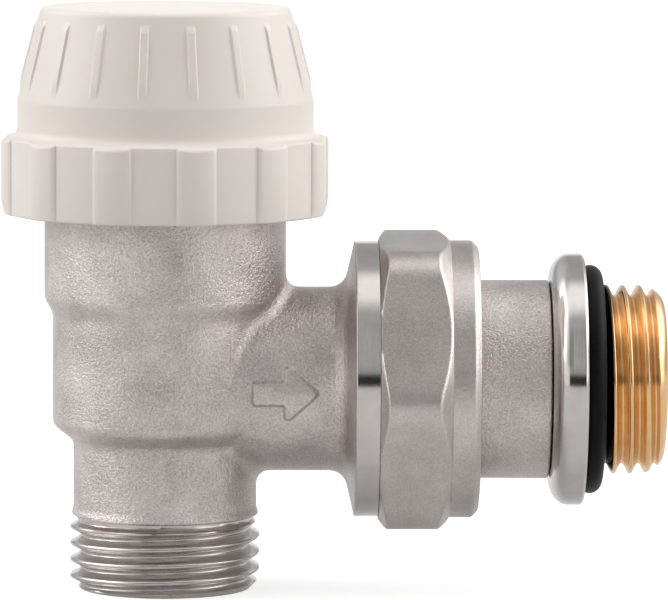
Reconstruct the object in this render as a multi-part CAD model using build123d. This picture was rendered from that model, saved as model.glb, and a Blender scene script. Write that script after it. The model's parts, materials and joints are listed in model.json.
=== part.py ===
from build123d import *
import os

# Angled radiator valve with a hand cap and a union to the radiator, in millimetres.
# The origin is the centre of the inlet's end face. +Z runs up the inlet axis to the cap,
# and +X runs along the outlet axis to the radiator.
# Each thread is a plain wall at the thread's outer diameter.

# Standard threads, outer radii
PIPE_THREAD_R = 20.955 / 2    # G 1/2: inlet and radiator end
UNION_THREAD_R = 26.441 / 2   # G 3/4: spigot inside the union nut
HEAD_THREAD_R = 28.0 / 2      # M28: carries the cap

# Clearances
THREAD_PLAY = 0.05            # radial, between the two walls of one thread
RUNNING_PLAY = 0.05           # radial, round a piece that slides or turns
SEAT_PLAY = 0.05              # between pieces that are pressed or laid together
UNION_GAP = 0.15              # axial, between the faces that the union draws together
CLOSING_GAP = 0.02            # left between rubber and seat when the valve is closed
STOP_GAP = 0.3                # left where a travel ends before a fixed piece
CUT_PAST = 1.0                # how far a cut runs past the face that it opens

# Body, seen from outside
AXIS_HEIGHT = 23.2            # inlet end to outlet axis
INLET_END_R = 9.4
INLET_CHAMFER = 1.1
INLET_THREAD_LENGTH = 7.0
NECK_R = 10.1
BARREL_R = 12.4
UPPER_R = 13.3
SHOULDER_BELOW_AXIS = 5.0     # where the barrel begins to narrow to the neck
SHOULDER_HEIGHT = 1.8
SHOULDER_ROUND = 1.4
STEP_ABOVE_AXIS = 7.3         # where the barrel begins to widen to the upper part
STEP_HEIGHT = 1.6
STEP_ROUND = 2.2
BODY_TOP_ABOVE_AXIS = 21.0
BLEND_R = 1.5                 # between barrel and branch

# Branch, flange and spigot, measured along the outlet axis
BRANCH_R = 10.15
FLANGE_R = 15.2
FLANGE_START = 20.85
FLANGE_WIDTH = 2.65
FLARE_R = 2.0                 # hollow rounding between branch and flange
FLARE_LEAN = 1.15             # how far the flange's back face leans along the axis
SPIGOT_LENGTH = 7.1
SPIGOT_CHAMFER = 0.8

# Waterway and seat
INLET_BORE_R = 7.5
OUTLET_BORE_R = 7.3
CHAMBER_R = 9.45
SEAT_R = 5.5
SEAT_BELOW_AXIS = 5.9
SEAT_LIP_HEIGHT = 0.6
SEAT_LIP_WIDTH = 1.1
WEB_THICKNESS = 2.5           # wall that carries the seat
UNION_CONE_DEPTH = 3.0        # sealing cone in the spigot's mouth, at 45 degrees

# Headwork that screws into the body
INSERT_THREAD_R = 11.0
INSERT_THREAD_LENGTH = 8.6
INSERT_DEPTH = 14.0
INSERT_ROOM = 0.4             # free depth under the insert's thread
HEAD_THREAD_LENGTH = 7.8
INSERT_HEX = 22.0
INSERT_HEX_HEIGHT = 3.2
GUIDE_LENGTH = 3.3
SPRING_ROOM_R = 5.2
INSERT_ORING_SECTION_R = 0.89
HIDDEN_SEAL_SIDES = 6         # the inner seals' round sections are drawn with flat sides
INSERT_GROOVE_WIDTH = 2.0
INSERT_GROOVE_EDGE = 0.6      # wall above the groove

# Gland in the top of the headwork
GLAND_THREAD_R = 6.0
GLAND_DEPTH = 5.5
GLAND_HEX = 13.0
GLAND_HEX_HEIGHT = 2.0
GLAND_ROOF = 1.5              # above the seal
GLAND_BORE_R = 3.25

# Stem, pin and shutter
SHUTTER_LIFT = 2.5
PIN_R = 1.5
PIN_HEAD_R = 2.4
PIN_HEAD_HEIGHT = 0.9
PIN_TIP = 0.4
STEM_R = 2.0
STEM_COLLAR_R = 3.2
STEM_COLLAR_HEIGHT = 1.0
PEENED_R = 2.7
PEENED_HEIGHT = 0.8
SHUTTER_SEAL_R = 6.9
SHUTTER_SEAL_THICKNESS = 2.0
SHUTTER_PLATE_THICKNESS = 1.5
SHUTTER_RIM_WIDTH = 0.6
SHUTTER_RIM_DEPTH = 1.2
SEAL_WASHER_R = 3.4
SEAL_WASHER_THICKNESS = 0.8
CLIP_R = 3.3
CLIP_GROOVE_R = 1.5
CLIP_THICKNESS = 0.6
CLIP_BELOW_TOP = 0.7
CLIP_OPENING = 2.6
SPRING_PLATE_R = 4.6
SPRING_PLATE_THICKNESS = 1.0
SPRING_MEAN_R = 3.8
SPRING_WIRE_R = 0.45
SPRING_TURNS = 4
SPRING_WIRE_SIDES = 6         # its round section is drawn with flat sides

# Hand cap
CAP_HEIGHT = 22.65
CAP_ROOF = 2.2
CAP_BOSS_R = 3.0
CAP_BOSS_LENGTH = 2.0
CAP_WALL = 2.0                # round the hollow under the cone
CAP_SKIRT_BORE_R = 15.2
CAP_SKIRT_DEPTH = 3.0
CAP_SKIRT_BEVEL = 0.5
CROWN_R = 13.7
CROWN_ROUND = 0.7
BAND_HEIGHT = 4.5
RING_ROOT_R = 17.65
RING_LEDGE = 1.35             # the band stands back from the ring by this much
RING_HEIGHT = 8.45
RING_FLARE_R = 1.3            # hollow rounding between ring and band
LOBE_COUNT = 12
LOBE_WIDTH = 4.4
LOBE_RISE = 0.6
LOBE_ROUND = 0.5              # rounding of a lobe's upright edges
LOBE_FOOT = 1.2               # height of the lobes' tapered lower end
LOBE_FOOT_DEPTH = 0.4
LOBE_TOP_DROP = 0.35          # how far a lobe's top slopes down
RIB_COUNT = 18
RIB_R = 0.55
RIB_RISE = 0.25               # above the cone, at the rib's upper end
RIB_BELOW_TOP = 1.3
RIB_LENGTH = 7.9
CAP_FACING = -78.5            # direction of one lobe and one rib, in degrees from +X

# Union nut, measured along the outlet axis
NUT_HEX = 31.0
NUT_HEX_LENGTH = 7.7
NUT_LENGTH = 10.8
NUT_CORNER_ROUND = 4.6        # rounding of the forged corners
NUT_CHAMFER_EDGE = 0.25       # the chamfer towards the body starts this far outside the flats
NUT_FRONT_SLOPE = 2.0         # rise of that chamfer, radius against length
NUT_BACK_SLOPE = 1.35         # rise of the chamfer beside the ring
NUT_RING_R = 15.3
NUT_RING_EDGE = 0.7
NUT_WEB = 2.05
NUT_RELIEF = 0.9              # run-out behind the nut's thread
NUT_CORNER_TURN = 35.0        # puts one corner just below the front

# Tail, measured along the outlet axis
SLEEVE_R = 10.95
SLEEVE_BORE_R = 7.0
SLEEVE_END = 42.25
COLLAR_R = 11.9
COLLAR_WIDTH = 1.55
COLLAR_NOSE = 2.0             # length of the sealing cone
SPIGOT_NIPPLE_R = 9.0
SPIGOT_NIPPLE_LENGTH = 4.9    # part of the nipple that screws into the sleeve
SEAL_FLANGE_GAP = 0.08
SEAL_FLANGE_R = 13.9
SEAL_FLANGE_WIDTH = 3.75
SEAL_FLANGE_ROUND = 2.2
SEAL_FLANGE_EDGE = 0.3
SEAL_RECESS = 0.6
SEAL_SECTION_R = 1.31
SEAL_SIDES = 12               # its round section is drawn with flat sides
NIPPLE_NECK_R = 9.95
NIPPLE_THREAD_LENGTH = 6.0
NIPPLE_CHAMFER = 0.8
NIPPLE_END_R = 9.4
NIPPLE_BORE_R = 5.8
NIPPLE_KEY = 12.0             # hexagon socket, across flats
NIPPLE_KEY_DEPTH = 8.0

# Heights that follow from the sizes above
seat_top = AXIS_HEIGHT - SEAT_BELOW_AXIS
web_top = seat_top - SEAT_LIP_HEIGHT
web_bottom = web_top - WEB_THICKNESS
body_top = AXIS_HEIGHT + BODY_TOP_ABOVE_AXIS
insert_bottom = body_top - INSERT_DEPTH
insert_thread_bottom = body_top - INSERT_THREAD_LENGTH
body_step = insert_thread_bottom - INSERT_ROOM
insert_groove_top = body_step - INSERT_GROOVE_EDGE
insert_groove_bottom = insert_groove_top - INSERT_GROOVE_WIDTH
insert_nose_r = CHAMBER_R - SEAT_PLAY
spring_floor = insert_bottom + GUIDE_LENGTH
head_thread_top = body_top + HEAD_THREAD_LENGTH
insert_top = head_thread_top + INSERT_HEX_HEIGHT
gland_bottom = insert_top - GLAND_DEPTH
gland_top = insert_top + GLAND_HEX_HEIGHT
gland_roof_bottom = gland_top - GLAND_ROOF
pin_top = gland_top + SHUTTER_LIFT + STOP_GAP
stem_top = gland_bottom - STOP_GAP - PIN_HEAD_HEIGHT
clip_top = stem_top - CLIP_BELOW_TOP
spring_plate_top = clip_top - CLIP_THICKNESS
spring_top = spring_plate_top - SPRING_PLATE_THICKNESS
shutter_seal_bottom = seat_top + CLOSING_GAP + SHUTTER_LIFT
shutter_seal_top = shutter_seal_bottom + SHUTTER_SEAL_THICKNESS
shutter_plate_top = shutter_seal_top + SHUTTER_PLATE_THICKNESS
seal_washer_bottom = shutter_seal_bottom - SEAL_WASHER_THICKNESS
cap_ceiling = pin_top + CAP_BOSS_LENGTH
cap_top = cap_ceiling + CAP_ROOF
cap_bottom = cap_top - CAP_HEIGHT
ring_top = cap_bottom + RING_HEIGHT
band_top = ring_top + BAND_HEIGHT
cap_thread_r = HEAD_THREAD_R + THREAD_PLAY
band_r = RING_ROOT_R - RING_LEDGE
stem_hole_r = STEM_R + SEAT_PLAY

# Distances along the outlet axis that follow from the sizes above
flange_end = FLANGE_START + FLANGE_WIDTH
spigot_end = flange_end + SPIGOT_LENGTH
nut_start = flange_end + UNION_GAP
nut_end = nut_start + NUT_LENGTH
nut_web_start = nut_end - NUT_WEB
collar_end = nut_web_start - SEAT_PLAY
collar_start = collar_end - COLLAR_WIDTH
nose_start = collar_start - COLLAR_NOSE
nipple_start = SLEEVE_END - SPIGOT_NIPPLE_LENGTH
seal_flange_start = SLEEVE_END + SEAL_FLANGE_GAP
seal_flange_end = seal_flange_start + SEAL_FLANGE_WIDTH
seal_recess_floor = seal_flange_end - SEAL_RECESS
seal_centre_r = NIPPLE_NECK_R + SEAT_PLAY + SEAL_SECTION_R
seal_centre = seal_recess_floor + SEAT_PLAY + SEAL_SECTION_R
nipple_thread_start = seal_centre + SEAL_SECTION_R + SEAT_PLAY
nipple_thread_end = nipple_thread_start + NIPPLE_THREAD_LENGTH
nipple_end = nipple_thread_end + NIPPLE_CHAMFER


def turned(*corners):
    """Turn a half section about Z. A corner is (radius, height) or (radius, height, rounding)."""
    points = [(corner[0], 0, corner[1]) for corner in corners]
    rounds = [corner[2] if len(corner) > 2 else 0 for corner in corners]
    outline = FilletPolyline(*points, radius=rounds, close=True)
    return revolve(make_face(outline.edges()), Axis.Z)


def ring(inner_r, outer_r, low, high):
    """A plain ring about Z."""
    return turned((inner_r, low), (outer_r, low), (outer_r, high), (inner_r, high))


def hexagon(across_flats, low, high, turn=0):
    """A six-sided prism about Z."""
    section = RegularPolygon(across_flats / 2, 6, major_radius=False, rotation=turn)
    return Pos(0, 0, low) * extrude(section, high - low)


def o_ring(centre_r, section_r, height, sides=HIDDEN_SEAL_SIDES):
    """A rubber ring about Z, its round section drawn with flat sides."""
    section = Plane.XZ * Pos(centre_r, height) * RegularPolygon(section_r, sides)
    return revolve(section, Axis.Z)


def along_outlet(piece):
    """Lay a piece that was made about Z along the outlet axis."""
    return Pos(0, 0, AXIS_HEIGHT) * Rot(0, 90, 0) * piece


def body_barrel():
    """Outside of the body about the inlet axis, from the threaded end up to the headwork."""
    thread_top = INLET_CHAMFER + INLET_THREAD_LENGTH
    shoulder_top = AXIS_HEIGHT - SHOULDER_BELOW_AXIS
    shoulder_bottom = shoulder_top - SHOULDER_HEIGHT
    step_bottom = AXIS_HEIGHT + STEP_ABOVE_AXIS
    step_top = step_bottom + STEP_HEIGHT
    return turned(
        (0, 0),
        (INLET_END_R, 0),
        (PIPE_THREAD_R, INLET_CHAMFER),
        (PIPE_THREAD_R, thread_top),
        (NECK_R, thread_top),
        (NECK_R, shoulder_bottom, SHOULDER_ROUND),
        (BARREL_R, shoulder_top, SHOULDER_ROUND),
        (BARREL_R, step_bottom, STEP_ROUND),
        (UPPER_R, step_top, STEP_ROUND),
        (UPPER_R, body_top),
        (0, body_top),
    )


def body_branch():
    """Outside of the branch, with the turned flange and the spigot for the union nut."""
    return along_outlet(turned(
        (0, 0),
        (BRANCH_R, 0),
        (BRANCH_R, FLANGE_START - FLARE_LEAN, FLARE_R),
        (FLANGE_R, FLANGE_START),
        (FLANGE_R, flange_end),
        (UNION_THREAD_R, flange_end),
        (UNION_THREAD_R, spigot_end - SPIGOT_CHAMFER),
        (UNION_THREAD_R - SPIGOT_CHAMFER, spigot_end),
        (0, spigot_end),
    ))


def inlet_waterway():
    """Inlet bore, seat, valve chamber and the hole for the headwork, as one turned cut."""
    seat_lip_r = SEAT_R + SEAT_LIP_WIDTH
    insert_hole_r = INSERT_THREAD_R + THREAD_PLAY
    return turned(
        (0, -CUT_PAST),
        (INLET_BORE_R, -CUT_PAST),
        (INLET_BORE_R, web_bottom - (INLET_BORE_R - SEAT_R) / 2),
        (SEAT_R, web_bottom),
        (SEAT_R, seat_top),
        (seat_lip_r, seat_top),
        (seat_lip_r, web_top),
        (CHAMBER_R, web_top),
        (CHAMBER_R, body_step),
        (insert_hole_r, body_step),
        (insert_hole_r, body_top + CUT_PAST),
        (0, body_top + CUT_PAST),
    )


def outlet_waterway():
    """Outlet bore from the chamber's wall to the sealing cone in the spigot's mouth."""
    start = CHAMBER_R - SEAT_PLAY
    return along_outlet(turned(
        (0, start),
        (OUTLET_BORE_R, start),
        (OUTLET_BORE_R, spigot_end - UNION_CONE_DEPTH),
        (OUTLET_BORE_R + UNION_CONE_DEPTH, spigot_end),
        (OUTLET_BORE_R + UNION_CONE_DEPTH, spigot_end + CUT_PAST),
        (0, spigot_end + CUT_PAST),
    ))


def valve_body():
    """Forged body: barrel and branch blended together, then bored."""
    barrel = body_barrel()
    branch = body_branch()
    forging = barrel + branch
    forging = fillet(new_edges(barrel, branch, combined=forging), BLEND_R)
    return forging - inlet_waterway() - outlet_waterway()


def insert_body():
    """Headwork: nose with a seal groove, thread into the body, thread for the cap, hexagon."""
    groove_r = insert_nose_r - 2 * INSERT_ORING_SECTION_R - SEAT_PLAY
    shank = turned(
        (0, insert_bottom),
        (insert_nose_r, insert_bottom),
        (insert_nose_r, insert_groove_bottom),
        (groove_r, insert_groove_bottom),
        (groove_r, insert_groove_top),
        (insert_nose_r, insert_groove_top),
        (insert_nose_r, insert_thread_bottom),
        (INSERT_THREAD_R, insert_thread_bottom),
        (INSERT_THREAD_R, body_top),
        (HEAD_THREAD_R, body_top),
        (HEAD_THREAD_R, head_thread_top),
        (0, head_thread_top),
    )
    hollow = turned(
        (0, insert_bottom - CUT_PAST),
        (STEM_R + RUNNING_PLAY, insert_bottom - CUT_PAST),
        (STEM_R + RUNNING_PLAY, spring_floor),
        (SPRING_ROOM_R, spring_floor),
        (SPRING_ROOM_R, gland_bottom - SEAT_PLAY),
        (GLAND_THREAD_R + THREAD_PLAY, gland_bottom - SEAT_PLAY),
        (GLAND_THREAD_R + THREAD_PLAY, insert_top + CUT_PAST),
        (0, insert_top + CUT_PAST),
    )
    return shank + hexagon(INSERT_HEX, head_thread_top, insert_top) - hollow


def insert_oring():
    """Seal between the headwork's nose and the chamber's wall."""
    centre_r = insert_nose_r - INSERT_ORING_SECTION_R
    return o_ring(centre_r, INSERT_ORING_SECTION_R, (insert_groove_bottom + insert_groove_top) / 2)


def gland_nut():
    """Small nut that holds the pin's seal."""
    shank = Pos(0, 0, gland_bottom) * extrude(Circle(GLAND_THREAD_R), GLAND_DEPTH)
    hollow = turned(
        (0, gland_bottom - CUT_PAST),
        (GLAND_BORE_R, gland_bottom - CUT_PAST),
        (GLAND_BORE_R, gland_roof_bottom),
        (PIN_R + RUNNING_PLAY, gland_roof_bottom),
        (PIN_R + RUNNING_PLAY, gland_top + CUT_PAST),
        (0, gland_top + CUT_PAST),
    )
    return shank + hexagon(GLAND_HEX, insert_top, gland_top) - hollow


def gland_section_r():
    """Section of the pin's seal, which fills the room between pin and gland."""
    return (GLAND_BORE_R - SEAT_PLAY - PIN_R - RUNNING_PLAY) / 2


def gland_seal_bottom():
    """Lowest height of the pin's seal."""
    return gland_roof_bottom - SEAT_PLAY - 2 * gland_section_r()


def gland_oring():
    """Seal round the pin, under the gland's roof."""
    section_r = gland_section_r()
    return o_ring(PIN_R + RUNNING_PLAY + section_r, section_r, gland_seal_bottom() + section_r)


def pin_guide():
    """Bush that closes the gland from below and guides the pin."""
    top = gland_seal_bottom() - SEAT_PLAY
    return ring(PIN_R + RUNNING_PLAY, GLAND_BORE_R - SEAT_PLAY, gland_bottom, top)


def actuating_pin():
    """Steel pin between the cap's boss and the stem, with a head that stops it in the gland."""
    return turned(
        (0, stem_top),
        (PIN_HEAD_R, stem_top),
        (PIN_HEAD_R, stem_top + PIN_HEAD_HEIGHT),
        (PIN_R, stem_top + PIN_HEAD_HEIGHT),
        (PIN_R, pin_top - PIN_TIP),
        (PIN_R - PIN_TIP, pin_top),
        (0, pin_top),
    )


def shutter_stem():
    """Stem with a peened lower end, a collar above the shutter and a groove for the clip."""
    collar_top = shutter_plate_top + STEM_COLLAR_HEIGHT
    return turned(
        (0, seal_washer_bottom - PEENED_HEIGHT),
        (STEM_R, seal_washer_bottom - PEENED_HEIGHT),
        (PEENED_R, seal_washer_bottom),
        (STEM_R, seal_washer_bottom),
        (STEM_R, shutter_plate_top),
        (STEM_COLLAR_R, shutter_plate_top),
        (STEM_COLLAR_R, collar_top),
        (STEM_R, collar_top),
        (STEM_R, spring_plate_top),
        (CLIP_GROOVE_R, spring_plate_top),
        (CLIP_GROOVE_R, clip_top),
        (STEM_R, clip_top),
        (STEM_R, stem_top),
        (0, stem_top),
    )


def stem_clip():
    """Open ring in the stem's groove."""
    whole = ring(CLIP_GROOVE_R + SEAT_PLAY, CLIP_R, spring_plate_top, clip_top)
    mouth = Pos(CLIP_R, 0, clip_top) * Box(2 * CLIP_R, CLIP_OPENING, 3 * CLIP_THICKNESS)
    return whole - mouth


def spring_plate():
    """Washer under the clip, the spring's upper seat."""
    return ring(stem_hole_r, SPRING_PLATE_R, spring_top, spring_plate_top)


def return_spring():
    """Spring from the headwork's floor to the plate under the clip, at its length with the valve open."""
    first = spring_floor + SEAT_PLAY + SPRING_WIRE_R
    last = spring_top - SEAT_PLAY - SPRING_WIRE_R
    height = last - first
    path = Helix(height / SPRING_TURNS, height, SPRING_MEAN_R, center=(0, 0, first))
    wire = Plane(origin=path @ 0, z_dir=path % 0) * RegularPolygon(SPRING_WIRE_R, SPRING_WIRE_SIDES)
    return sweep(wire, path, is_frenet=True)


def shutter_plate():
    """Cup that backs the rubber and holds its edge."""
    inner_r = SHUTTER_SEAL_R + SEAT_PLAY
    outer_r = inner_r + SHUTTER_RIM_WIDTH
    return turned(
        (stem_hole_r, shutter_seal_top),
        (inner_r, shutter_seal_top),
        (inner_r, shutter_seal_top - SHUTTER_RIM_DEPTH),
        (outer_r, shutter_seal_top - SHUTTER_RIM_DEPTH),
        (outer_r, shutter_plate_top),
        (stem_hole_r, shutter_plate_top),
    )


def shutter_seal():
    """Rubber disc that closes the seat."""
    return ring(stem_hole_r, SHUTTER_SEAL_R, shutter_seal_bottom, shutter_seal_top)


def seal_washer():
    """Washer under the rubber, held by the stem's peened end."""
    return ring(stem_hole_r, SEAL_WASHER_R, seal_washer_bottom, shutter_seal_bottom)


def cap_cone_r(height):
    """Radius of the cap's cone at a height."""
    share = (height - band_top) / (cap_top - band_top)
    return band_r + (CROWN_R - band_r) * share


def cap_lobes():
    """Flat lobes of the grip ring, with rounded edges, sloping tops and tapered feet."""
    tip_r = RING_ROOT_R + LOBE_RISE
    section = RectangleRounded(2 * LOBE_RISE, LOBE_WIDTH, LOBE_ROUND)
    lobe = Pos(RING_ROOT_R, 0, cap_bottom) * extrude(section, RING_HEIGHT)
    limits = turned(
        (HEAD_THREAD_R, cap_bottom),
        (tip_r - LOBE_FOOT_DEPTH, cap_bottom),
        (tip_r + LOBE_FOOT_DEPTH, cap_bottom + 2 * LOBE_FOOT),
        (tip_r + LOBE_RISE, ring_top - 2 * LOBE_TOP_DROP),
        (RING_ROOT_R, ring_top),
        (HEAD_THREAD_R, ring_top),
    )
    shaped = lobe & limits
    return [Rot(0, 0, CAP_FACING + i * 360 / LOBE_COUNT) * shaped for i in range(LOBE_COUNT)]


def cap_ribs():
    """Slim ribs on the cone, highest at their rounded upper end and sunk in the cone at the foot."""
    top = cap_top - RIB_BELOW_TOP
    foot = top - RIB_LENGTH
    top_point = Vector(cap_cone_r(top) + RIB_RISE - RIB_R, 0, top)
    foot_point = Vector(cap_cone_r(foot) - RIB_R, 0, foot)
    line = top_point - foot_point
    bar = Plane(origin=foot_point, z_dir=line) * extrude(Circle(RIB_R), line.length)
    return [Rot(0, 0, CAP_FACING + i * 360 / RIB_COUNT) * bar for i in range(RIB_COUNT)]


def cap_hollow():
    """Inside of the cap: skirt, thread, hollow cone and the boss that presses the pin."""
    skirt_top = cap_bottom + CAP_SKIRT_DEPTH
    thread_top = head_thread_top + SHUTTER_LIFT + STOP_GAP
    return turned(
        (0, cap_bottom - CUT_PAST),
        (CAP_SKIRT_BORE_R, cap_bottom - CUT_PAST),
        (CAP_SKIRT_BORE_R, skirt_top),
        (cap_thread_r, skirt_top + CAP_SKIRT_BEVEL),
        (cap_thread_r, thread_top),
        (cap_cone_r(cap_ceiling) - CAP_WALL, cap_ceiling),
        (CAP_BOSS_R, cap_ceiling),
        (CAP_BOSS_R, pin_top),
        (0, pin_top),
    )


def hand_cap():
    """Moulded cap: grip ring with lobes, band, ribbed cone and hollow inside."""
    shell = turned(
        (0, cap_bottom),
        (RING_ROOT_R, cap_bottom),
        (RING_ROOT_R, ring_top),
        (band_r, ring_top, RING_FLARE_R),
        (band_r, band_top),
        (CROWN_R, cap_top, CROWN_ROUND),
        (0, cap_top),
    )
    return shell + cap_lobes() + cap_ribs() - cap_hollow()


def nut_hexagon(hex_end):
    """The nut's six sides, with rounded corners and a turned chamfer at each end."""
    corner_r = NUT_HEX / 3 ** 0.5
    chamfer_r = NUT_HEX / 2 + NUT_CHAMFER_EDGE
    front_limit = turned(
        (0, nut_start),
        (chamfer_r, nut_start),
        (corner_r, nut_start + (corner_r - chamfer_r) / NUT_FRONT_SLOPE),
        (corner_r, hex_end),
        (0, hex_end),
    )
    back_limit = turned(
        (0, nut_start),
        (corner_r, nut_start),
        (corner_r, hex_end - (corner_r - NUT_RING_R) / NUT_BACK_SLOPE),
        (NUT_RING_R, hex_end),
        (0, hex_end),
    )
    prism = hexagon(NUT_HEX, nut_start, hex_end, NUT_CORNER_TURN)
    prism = fillet(prism.edges().filter_by(Axis.Z), NUT_CORNER_ROUND)
    return prism & front_limit & back_limit


def union_nut():
    """Nut with a rounded hexagon, a turned ring, a thread and a web that draws the collar."""
    collar_ring = turned(
        (0, nut_start),
        (NUT_RING_R, nut_start),
        (NUT_RING_R, nut_end - NUT_RING_EDGE),
        (NUT_RING_R - NUT_RING_EDGE, nut_end),
        (0, nut_end),
    )
    thread_r = UNION_THREAD_R + THREAD_PLAY
    hollow = turned(
        (0, nut_start - CUT_PAST),
        (thread_r, nut_start - CUT_PAST),
        (thread_r, nut_web_start - NUT_RELIEF),
        (COLLAR_R + NUT_RELIEF, nut_web_start - NUT_RELIEF),
        (COLLAR_R + NUT_RELIEF, nut_web_start),
        (SLEEVE_R + RUNNING_PLAY, nut_web_start),
        (SLEEVE_R + RUNNING_PLAY, nut_end + CUT_PAST),
        (0, nut_end + CUT_PAST),
    )
    return along_outlet(nut_hexagon(nut_start + NUT_HEX_LENGTH) + collar_ring - hollow)


def tail_sleeve():
    """Sleeve of the tail: sealing cone and collar inside the nut, socket for the nipple."""
    nose_r = OUTLET_BORE_R + UNION_CONE_DEPTH + (collar_start - spigot_end) - UNION_GAP
    socket_r = SPIGOT_NIPPLE_R + THREAD_PLAY
    return along_outlet(turned(
        (SLEEVE_BORE_R, nose_start),
        (nose_r - COLLAR_NOSE, nose_start),
        (nose_r, collar_start),
        (COLLAR_R, collar_start),
        (COLLAR_R, collar_end),
        (SLEEVE_R, collar_end),
        (SLEEVE_R, SLEEVE_END),
        (socket_r, SLEEVE_END),
        (socket_r, nipple_start - SEAT_PLAY),
        (SLEEVE_BORE_R, nipple_start - SEAT_PLAY),
    ))


def seal_flange():
    """Turned ring with a recess for the radiator seal."""
    bore_r = SPIGOT_NIPPLE_R + SEAT_PLAY
    recess_inner_r = NIPPLE_NECK_R + SEAT_PLAY
    recess_outer_r = seal_centre_r + SEAL_SECTION_R + SEAT_PLAY
    return along_outlet(turned(
        (bore_r, seal_flange_start),
        (SEAL_FLANGE_R, seal_flange_start, SEAL_FLANGE_ROUND),
        (SEAL_FLANGE_R, seal_flange_end - SEAL_FLANGE_EDGE),
        (SEAL_FLANGE_R - SEAL_FLANGE_EDGE, seal_flange_end),
        (recess_outer_r, seal_flange_end),
        (recess_outer_r, seal_recess_floor),
        (recess_inner_r, seal_recess_floor),
        (bore_r, seal_recess_floor),
    ))


def radiator_seal():
    """Rubber ring that the seal flange presses on the radiator."""
    return along_outlet(o_ring(seal_centre_r, SEAL_SECTION_R, seal_centre, SEAL_SIDES))


def radiator_nipple():
    """Brass nipple: end that screws into the sleeve, neck under the seal, radiator thread."""
    outside = turned(
        (0, nipple_start),
        (SPIGOT_NIPPLE_R, nipple_start),
        (SPIGOT_NIPPLE_R, seal_recess_floor + SEAT_PLAY),
        (NIPPLE_NECK_R, seal_recess_floor + SEAT_PLAY),
        (NIPPLE_NECK_R, nipple_thread_start),
        (PIPE_THREAD_R, nipple_thread_start),
        (PIPE_THREAD_R, nipple_thread_end),
        (NIPPLE_END_R, nipple_end),
        (0, nipple_end),
    )
    socket_end = nipple_start + NIPPLE_KEY_DEPTH
    socket = hexagon(NIPPLE_KEY, nipple_start - CUT_PAST, socket_end)
    bore = Pos(0, 0, socket_end) * extrude(Circle(NIPPLE_BORE_R), nipple_end - socket_end + CUT_PAST)
    return along_outlet(outside - (socket + bore))


PIECES = (
    valve_body,
    insert_body,
    insert_oring,
    gland_nut,
    gland_oring,
    pin_guide,
    return_spring,
    actuating_pin,
    shutter_stem,
    stem_clip,
    spring_plate,
    shutter_plate,
    shutter_seal,
    seal_washer,
    hand_cap,
    tail_sleeve,
    seal_flange,
    radiator_seal,
    radiator_nipple,
    union_nut,
)

os.makedirs("parts", exist_ok=True)
for piece in PIECES:
    export_step(piece(), f"parts/{piece.__name__}.step")
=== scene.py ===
"""Looks of the angled radiator valve: fine shapes, finishes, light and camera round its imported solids."""

import json
import math

import bmesh
import bpy
import numpy as np
from mathutils import Matrix, Vector


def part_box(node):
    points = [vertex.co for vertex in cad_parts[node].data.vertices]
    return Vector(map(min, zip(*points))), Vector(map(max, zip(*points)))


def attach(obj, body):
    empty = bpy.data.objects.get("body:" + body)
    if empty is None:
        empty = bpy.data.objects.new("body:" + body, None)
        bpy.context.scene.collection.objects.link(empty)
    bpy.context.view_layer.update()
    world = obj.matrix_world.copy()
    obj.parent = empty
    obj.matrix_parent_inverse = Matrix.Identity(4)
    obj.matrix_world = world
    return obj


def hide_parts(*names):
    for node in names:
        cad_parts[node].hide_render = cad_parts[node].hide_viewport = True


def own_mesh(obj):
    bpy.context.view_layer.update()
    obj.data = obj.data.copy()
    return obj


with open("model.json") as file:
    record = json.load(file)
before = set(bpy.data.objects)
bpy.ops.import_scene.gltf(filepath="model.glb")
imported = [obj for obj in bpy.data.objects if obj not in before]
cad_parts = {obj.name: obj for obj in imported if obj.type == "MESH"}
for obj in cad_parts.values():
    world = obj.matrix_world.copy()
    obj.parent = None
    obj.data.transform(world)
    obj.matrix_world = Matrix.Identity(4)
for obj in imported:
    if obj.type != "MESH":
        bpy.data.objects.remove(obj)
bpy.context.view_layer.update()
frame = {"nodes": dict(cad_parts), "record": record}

MM = 0.001

# Standard threads
PITCH = 1.814 * MM              # both pipe threads and the union
THREAD_DEPTH = 0.640327 * PITCH
THREAD_ROUND = 0.137329 * PITCH  # radius of crests and roots
THREAD_FLANK = math.radians(27.5)
THREAD_ROWS = 18                # rows that draw one pitch
INLET_PHASE = 0.75              # where the crest lies at +X, as a share of the pitch
NIPPLE_PHASE = 0.70

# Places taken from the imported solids
mounts = {m["name"]: m for m in frame["record"]["mounts"]}
AXIS_Z = mounts["radiator_thread"]["pos_m"][2]
PIPE_R = mounts["inlet_thread"]["dims"]["r_mm"] * MM
INLET_BORE_R = mounts["inlet_bore"]["dims"]["r_mm"] * MM
NIPPLE_BORE_R = mounts["outlet_bore"]["dims"]["r_mm"] * MM
NIPPLE_BORE_LENGTH = mounts["outlet_bore"]["dims"]["length_mm"] * MM

# Shapes are turned about Z and then laid along the outlet where they belong there
UPRIGHT = Matrix.Identity(4)
ALONG_OUTLET = Matrix.Translation((0, 0, AXIS_Z)) @ Matrix.Rotation(math.pi / 2, 4, "Y")

# Resolution
TURN_STEPS = 192                # angles round a turned piece
ARC_STEP = math.radians(16)     # one facet of a rounded corner
SUPPORT = 0.10 * MM             # rows beside a rounded corner, which keep the flats flat
SHARP_ANGLE = math.radians(32)
SAME_POINT = 1e-7               # points nearer to each other than this are one
EMPTY_EDGE = 1e-8


# Mesh tools


def even_angles(count=TURN_STEPS):
    """Angles spread evenly round a full turn."""
    return np.arange(count) * (2 * math.pi / count)


def full_turn(angles):
    """The angles with a last one that closes the turn, for a mesh with a seam."""
    return np.append(angles, 2 * math.pi)


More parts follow.
